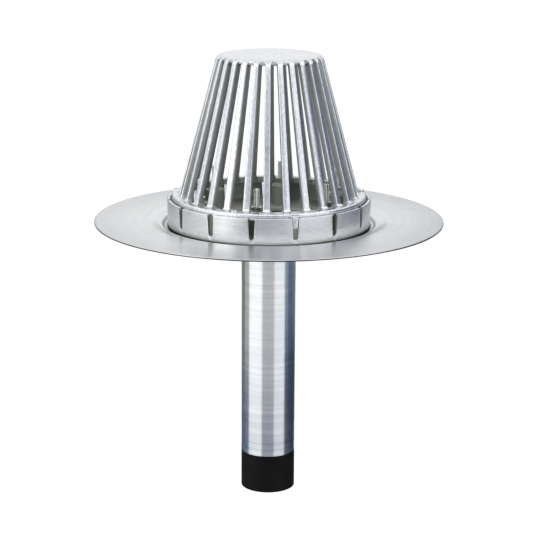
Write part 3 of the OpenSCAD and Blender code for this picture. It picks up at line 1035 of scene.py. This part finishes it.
def build_nuts():
    """Hexagon nuts with turned corners and a countersunk bore."""
    corner = NUT_FLATS / 2 / math.cos(math.pi / 6)
    flat_r = NUT_FLATS / 2 * 0.96
    rise = (corner - flat_r) * math.tan(math.pi / 6)
    hexagon = [(corner * math.cos(TAU * i / 6), corner * math.sin(TAU * i / 6)) for i in range(6)]
    nut = loft("nuts", [[Vector((x, y, z)) for x, y in hexagon] for z in (WASHER_Z, NUT_Z)])
    turned = lathe("turned", [(0, WASHER_Z), (flat_r, WASHER_Z), (corner, WASHER_Z + rise),
                              (corner, NUT_Z - rise), (flat_r, NUT_Z), (0, NUT_Z)], 96)
    boolean(nut, turned, "INTERSECT")
    bore_r = STUD_R + 0.05 * MM
    sink = 0.8 * MM
    bore = lathe("bore", [(0, WASHER_Z - sink), (bore_r, WASHER_Z - sink), (bore_r, NUT_Z - sink),
                          (bore_r + 2 * sink, NUT_Z + sink), (0, NUT_Z + sink)], 48)
    boolean(nut, bore, "DIFFERENCE")
    hardware(nut, "nut", STUDS, STUD_AT, BOLT_R, 20)


def build_screws():
    """Slotted pan head screws that hold the dome on its ring."""
    end = low("dome_screw_1")
    head_z = SEAT_Z + HEAD_H
    point = 0.8 * MM
    crest = 1.2 * MM
    profile = [(0, end), (SCREW_R - point, end), (SCREW_R, end + point), (SCREW_R, SEAT_Z),
               (HEAD_R, SEAT_Z)]
    profile += arc((HEAD_R - crest, head_z - crest), crest, 0, 90, 6) + [(0, head_z)]
    screw = lathe("dome_screws", held(profile, 0.2 * MM), 48)
    half, deep, past = 0.6 * MM, 1.3 * MM, 1 * MM
    slot = [(-half, -deep), (half, -deep), (half, past), (-half, past)]
    cutter = loft("driver_slot", [[Vector((x, y, head_z + z)) for y, z in slot]
                                  for x in (-2 * HEAD_R, 2 * HEAD_R)])
    boolean(screw, cutter, "DIFFERENCE")
    hardware(screw, "dome_screw", SCREWS, SCREW_AT, SCREW_PLACE_R)


# ---- Studio ----------------------------------------------------------------

CENTRE_Z = -66 * MM
CARD_R = 1.5
SKIRT_R = 0.9
FLOOR_LEVEL = SEAL_LOW - 0.5


def seen_by(tree, *rays):
    """1 for a ray of one of these kinds and 0 for any other."""
    path = add(tree, "ShaderNodeLightPath").outputs
    seen = path[rays[0]]
    for ray in rays[1:]:
        seen = add(tree, "ShaderNodeMath", {0: seen, 1: path[ray]}, operation="MAXIMUM")
    return seen


def world():
    """White wherever it is seen directly or mirrored, and a quieter white as a light."""
    scene_world = bpy.data.worlds.new("studio")
    bpy.context.scene.world = scene_world
    scene_world.use_nodes = True
    tree = scene_world.node_tree
    tree.nodes.clear()
    seen = seen_by(tree, "Is Camera Ray", "Is Glossy Ray", "Is Transmission Ray")
    strength = add(tree, "ShaderNodeMapRange", {0: seen, 3: 0.6, 4: 1.0})
    sky = add(tree, "ShaderNodeBackground", {"Color": linear("ffffff"), "Strength": strength})
    add(tree, "ShaderNodeOutputWorld", {"Surface": sky})


def floor():
    """A pale floor, white where the camera and the metal see it, that keeps the drain's shadow. It
    is clear from below."""
    half = 40
    mesh = bpy.data.meshes.new("studio_floor")
    corners = [(x * half, y * half, FLOOR_LEVEL) for x, y in ((-1, -1), (1, -1), (1, 1), (-1, 1))]
    mesh.from_pydata(corners, [], [(0, 1, 2, 3)])
    mat, tree = new_material("studio_floor")
    seen = seen_by(tree, "Is Camera Ray", "Is Glossy Ray")
    lift = add(tree, "ShaderNodeMath", {0: seen, 1: 0.55}, operation="MULTIPLY")
    glow = add(tree, "ShaderNodeEmission", {"Color": linear("ffffff"), "Strength": lift})
    paint = add(tree, "ShaderNodeBsdfDiffuse", {"Color": linear("f0f0f0")})
    lit = add(tree, "ShaderNodeAddShader", {0: glow, 1: paint})
    clear = add(tree, "ShaderNodeBsdfTransparent")
    below = add(tree, "ShaderNodeNewGeometry").outputs["Backfacing"]
    shader = add(tree, "ShaderNodeMixShader", {0: below, 1: lit, 2: clear})
    add(tree, "ShaderNodeOutputMaterial", {"Surface": shader})
    mesh.materials.append(mat)
    obj = placed("studio_floor", mesh)


def card(name, start, end, z0, z1, tone, strength=1.0, radius=CARD_R):
    """A curved studio card round the drain that only the metal sees. Angles are in degrees from the
    front towards +X."""
    steps = max(2, int(abs(end - start) / 6))
    verts = []
    for i in range(steps + 1):
        a = math.radians(start + (end - start) * i / steps)
        verts += [(radius * math.sin(a), -radius * math.cos(a), z) for z in (z0, z1)]
    mesh = bpy.data.meshes.new(name)
    mesh.from_pydata(verts, [], [(i, i + 1, i + 3, i + 2) for i in range(0, 2 * steps, 2)])
    mat, tree = new_material(name)
    glow = add(tree, "ShaderNodeEmission", {"Color": linear(tone), "Strength": strength})
    add(tree, "ShaderNodeOutputMaterial", {"Surface": glow})
    mesh.materials.append(mat)
    obj = placed(name, mesh)
    obj.visible_camera = False
    obj.visible_diffuse = False
    obj.visible_shadow = False


def lamp(name, place, size, watts):
    """A square lamp that points at the middle of the drain."""
    data = bpy.data.lights.new(name, "AREA")
    data.shape = "RECTANGLE"
    data.size, data.size_y = size
    data.energy = watts
    obj = placed(name, data)
    obj.location = place
    aim = Vector((0, 0, CENTRE_Z)) - Vector(place)
    obj.rotation_euler = aim.to_track_quat("-Z", "Y").to_euler()


def camera():
    """In front of the drain, looking a little down on its flange."""
    distance = 2.3
    tilt = math.radians(14.29)
    roll = 0.0048
    aim = Vector((1.7 * MM, 0, -66.05 * MM))
    data = bpy.data.cameras.new("camera")
    data.lens = 119.1
    data.sensor_width = 36
    back = Vector((0, -math.cos(tilt), math.sin(tilt)))
    turn = (-back).to_track_quat("-Z", "Y").to_matrix().to_4x4()
    obj = placed("camera", data)
    place = Matrix.Translation(aim + back * distance)
    obj.matrix_world = place @ turn @ Matrix.Rotation(roll, 4, "Z")
    bpy.context.scene.camera = obj


def cards():
    """What the metal mirrors, from low to high."""
    # Close to the floor: the lower part of the stem
    for side, start, end, z1, tone in (
        ("front", -27, 25, -0.55, "3c5078"),
        ("left", -90, -27, -0.55, "d4dee8"),
        ("left_edge", -180, -90, -0.48, "586880"),
        ("right", 25, 73, -0.55, "bcc8d6"),
        ("right_dark", 73, 150, -0.4, "2e3a50"),
    ):
        card(side + "_skirt_card", start, end, FLOOR_LEVEL, z1, tone, radius=SKIRT_R)
    # In front and at both sides: the stem, the ring's wall and the ribs
    card("front_low_card", -27, 25, FLOOR_LEVEL, -0.1, "d2d3d5")
    card("front_high_card", -20, 20, -0.1, 0.75, "b2b6c2")
    card("left_card", -90, -27, FLOOR_LEVEL, 0.0, "ffffff", 1.35)
    card("left_high_card", -40, -20, 0.0, 0.75, "ced1d6")
    card("left_edge_card", -120, -90, FLOOR_LEVEL, 0.15, "bec0c0")
    card("left_side_card", -180, -120, FLOOR_LEVEL, 0.15, "80867f")
    card("right_card", 25, 73, FLOOR_LEVEL, 0.75, "fafbff", 1.15)
    card("right_blue_card", 73, 92, FLOOR_LEVEL, -0.1, "98a8bc")
    card("right_dark_card", 92, 128, FLOOR_LEVEL, -0.1, "68768c")
    card("right_high_card", 73, 128, -0.1, 0.7, "6a7284")
    card("right_side_card", 128, 180, FLOOR_LEVEL, 0.2, "7c848c")
    # Behind: the flange and the inside of the ring
    card("right_back_card", 128, 165, 0.2, 0.8, "ccd0d4")
    card("left_back_card", -164, -130, 0.15, 0.8, "d2d6d8")
    # Overhead: the shoulders and the crown
    card("top_card", -110, 110, 0.9, 3.2, "ffffff", 1.45)


def studio():
    bpy.context.scene.view_settings.view_transform = "Standard"
    world()
    floor()
    camera()
    cards()
    lamp("key", (-1.6, -1.5, 0.5), (1.2, 1.4), 6.5)
    lamp("fill", (1.7, -1.2, -0.3), (1.0, 0.6), 2)


build_spun_body()
build_seal()
build_ring()
build_dome()
build_studs()
build_washers()
build_nuts()
build_screws()
for piece in list(bpy.context.scene.objects):
    if piece.type == "MESH" and "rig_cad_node" not in piece:
        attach(piece, "root")
studio()
